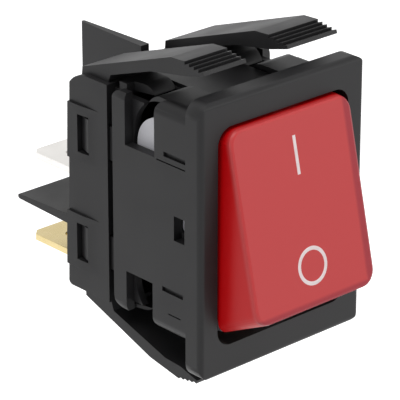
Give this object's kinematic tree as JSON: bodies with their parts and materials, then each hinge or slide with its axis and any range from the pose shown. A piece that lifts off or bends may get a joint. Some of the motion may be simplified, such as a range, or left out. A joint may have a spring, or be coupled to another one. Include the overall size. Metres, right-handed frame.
{
  "type": "rocker switch",
  "caption": "Lit rocker switch with a tilting red cap in a black bezel, sprung contacts behind it, snap-in wings and flat blade terminals between barrier plates.",
  "frame": {"origin": "on the bezel's back face, level with the rocker's pivot, on the centre plane", "axes": "+X to the right seen from the front, +Y into the panel, +Z towards the rocker's I end"},
  "size_m": [0.0244, 0.0393, 0.0379],
  "materials": {
    "black_nylon": "satin moulded black nylon",
    "red_lens": "translucent red, satin front",
    "diffuser_sheet": "thin milky sheet",
    "white_nylon": "moulded white nylon",
    "plunger_nylon": "smooth natural nylon",
    "spring_steel": "drawn spring wire",
    "copper_blade": "rolled copper strip",
    "silver_contact": "silver rivet",
    "plated_terminal": "silver-plated strip",
    "brass_terminal": "rolled brass strip",
    "lamp_glass": "clear glass",
    "resistor_body": "lacquered ceramic",
    "lead_wire": "tinned wire"
  },
  "bodies": {
    "housing": {"front_housing": "black_nylon", "terminal_base": "black_nylon", "centre_terminal_left": "plated_terminal", "centre_terminal_right": "plated_terminal", "end_terminal_left": "brass_terminal", "end_terminal_right": "brass_terminal", "fixed_contact_left": "silver_contact", "fixed_contact_right": "silver_contact"},
    "rocker": {"rocker_lens": "red_lens", "lamp_diffuser": "diffuser_sheet", "rocker_carrier": "white_nylon", "plunger_spring_left": "spring_steel", "plunger_spring_right": "spring_steel", "neon_lamp": "lamp_glass", "lamp_resistor": "resistor_body", "lamp_lead_direct": "lead_wire", "lamp_lead_resistor": "lead_wire", "resistor_lead": "lead_wire"},
    "plunger_left": {"plunger_left": "plunger_nylon"},
    "plunger_right": {"plunger_right": "plunger_nylon"},
    "blade_left": {"contact_blade_left": "copper_blade", "moving_contact_left": "silver_contact"},
    "blade_right": {"contact_blade_right": "copper_blade", "moving_contact_right": "silver_contact"}
  },
  "joints": [
    {"name": "rocker_tilt", "type": "hinge", "parent": "housing", "child": "rocker", "pos_m": [0, 0.0025, 0], "axis": [1, 0, 0], "range_deg": [0, 26]},
    {"name": "blade_left_tilt", "type": "hinge", "parent": "housing", "child": "blade_left", "pos_m": [-0.0057, 0.01169, 0], "axis": [1, 0, 0], "range_deg": [-16.1, 0]},
    {"name": "blade_right_tilt", "type": "hinge", "parent": "housing", "child": "blade_right", "pos_m": [0.0057, 0.01169, 0], "axis": [1, 0, 0], "range_deg": [-16.1, 0]},
    {"name": "plunger_left_slide", "type": "slide", "parent": "rocker", "child": "plunger_left", "axis": [0, -0.9744, 0.225], "range_m": [0, 0.0008], "stiffness_N_per_m": 300, "deforming": ["plunger_spring_left"]},
    {"name": "plunger_right_slide", "type": "slide", "parent": "rocker", "child": "plunger_right", "axis": [0, -0.9744, 0.225], "range_m": [0, 0.0008], "stiffness_N_per_m": 300, "deforming": ["plunger_spring_right"]}
  ],
  "couplings": [
    {"joint": "blade_left_tilt", "follows": "rocker_tilt", "ratio": -0.6154},
    {"joint": "blade_right_tilt", "follows": "rocker_tilt", "ratio": -0.6154}
  ]
}
